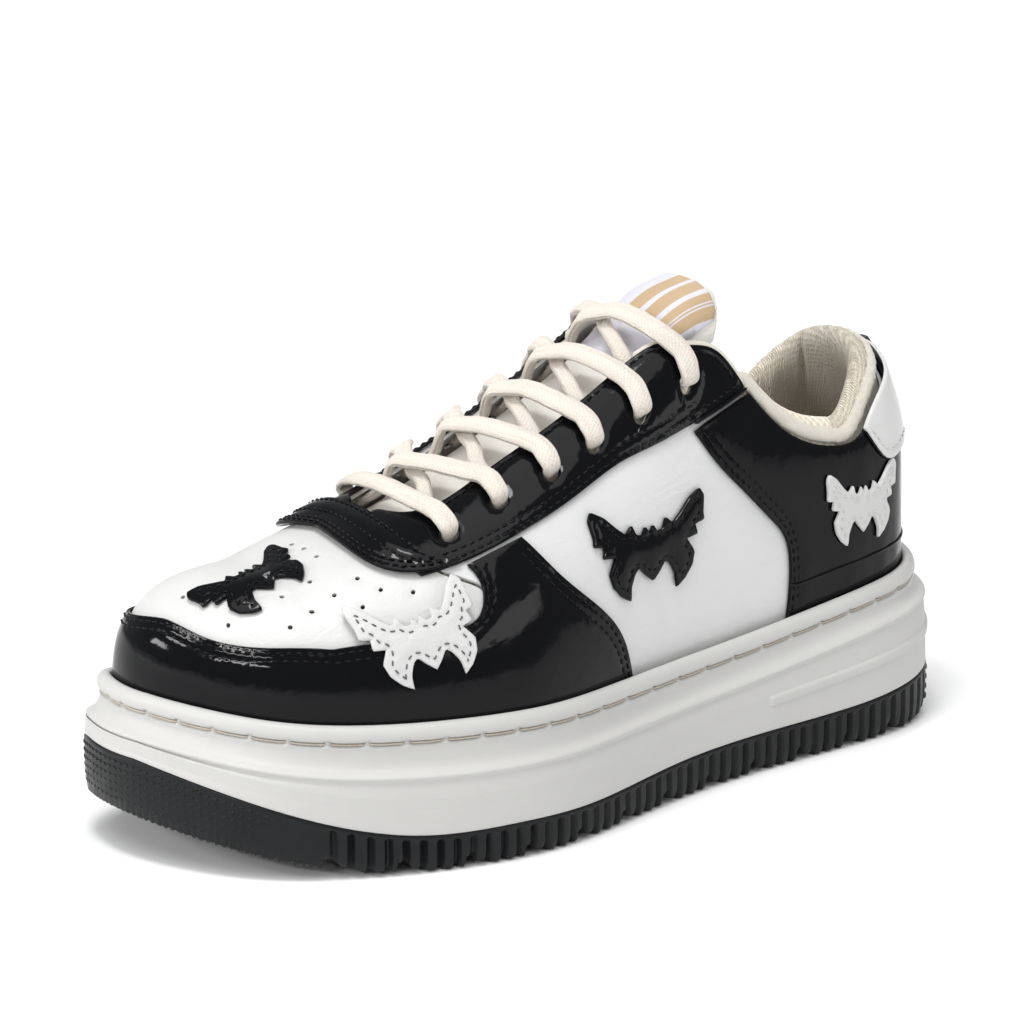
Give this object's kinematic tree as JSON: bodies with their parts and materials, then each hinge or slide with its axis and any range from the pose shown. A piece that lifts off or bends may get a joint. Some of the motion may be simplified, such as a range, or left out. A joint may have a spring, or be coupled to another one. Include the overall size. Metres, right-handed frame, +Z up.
{
  "type": "cheer shoe",
  "caption": "Low-top lace-up cheer shoe for the left foot with a thick cup sole, black and white leather panels, a padded collar and butterfly patches.",
  "frame": {"origin": "centre of the bounding box at ground level", "axes": "+Y toward the heel, -Y toward the toe; +X toward the outer side of the left foot; +Z up from the ground"},
  "size_m": [0.1132, 0.2864, 0.1482],
  "materials": {
    "back_strip": "white patent",
    "butterfly_heel": "white patent",
    "butterfly_quarter": "black patent",
    "butterfly_toe": "black patent",
    "butterfly_vamp": "smooth white",
    "collar_padding": "cream knit over foam",
    "eyestay_inner": "black patent",
    "eyestay_outer": "black patent",
    "heel_counter": "moulded stiffener",
    "heel_quarter_inner": "black patent",
    "heel_quarter_outer": "black patent",
    "heel_tab": "white patent",
    "insole_board": "stitched board",
    "lace": "cream woven",
    "lining": "cream knit",
    "midsole_cup": "off-white moulded rubber",
    "midsole_wedge": "light foam",
    "mudguard": "black patent",
    "outsole": "black moulded rubber",
    "pull_tab": "black webbing",
    "quarter_inner": "white creased",
    "quarter_outer": "white creased",
    "sidewall_stitch": "thick thread",
    "sockliner": "cream fabric over foam",
    "throat_bar": "black patent",
    "toe_puff": "moulded stiffener",
    "tongue": "white padded",
    "tongue_flap": "white padded",
    "tongue_label": "plain woven bands",
    "vamp": "white perforated"
  },
  "bodies": {
    "shoe": {"back_strip": "back_strip", "butterfly_heel": "butterfly_heel", "butterfly_quarter": "butterfly_quarter", "butterfly_toe": "butterfly_toe", "butterfly_vamp": "butterfly_vamp", "collar_padding": "collar_padding", "eyestay_inner": "eyestay_inner", "eyestay_outer": "eyestay_outer", "heel_counter": "heel_counter", "heel_quarter_inner": "heel_quarter_inner", "heel_quarter_outer": "heel_quarter_outer", "heel_tab": "heel_tab", "insole_board": "insole_board", "lace": "lace", "lining": "lining", "midsole_cup": "midsole_cup", "midsole_wedge": "midsole_wedge", "mudguard": "mudguard", "outsole": "outsole", "pull_tab": "pull_tab", "quarter_inner": "quarter_inner", "quarter_outer": "quarter_outer", "sidewall_stitch": "sidewall_stitch", "sockliner": "sockliner", "throat_bar": "throat_bar", "toe_puff": "toe_puff", "tongue": "tongue", "vamp": "vamp"},
    "tongue_top": {"tongue_flap": "tongue_flap", "tongue_label": "tongue_label"}
  },
  "joints": [
    {"name": "tongue_fold", "type": "hinge", "parent": "shoe", "child": "tongue_top", "pos_m": [-0.00735, 0.04043, 0.14115], "axis": [1, 0, 0], "range_deg": [-3, 25], "stiffness_Nm_per_rad": 0.2}
  ]
}
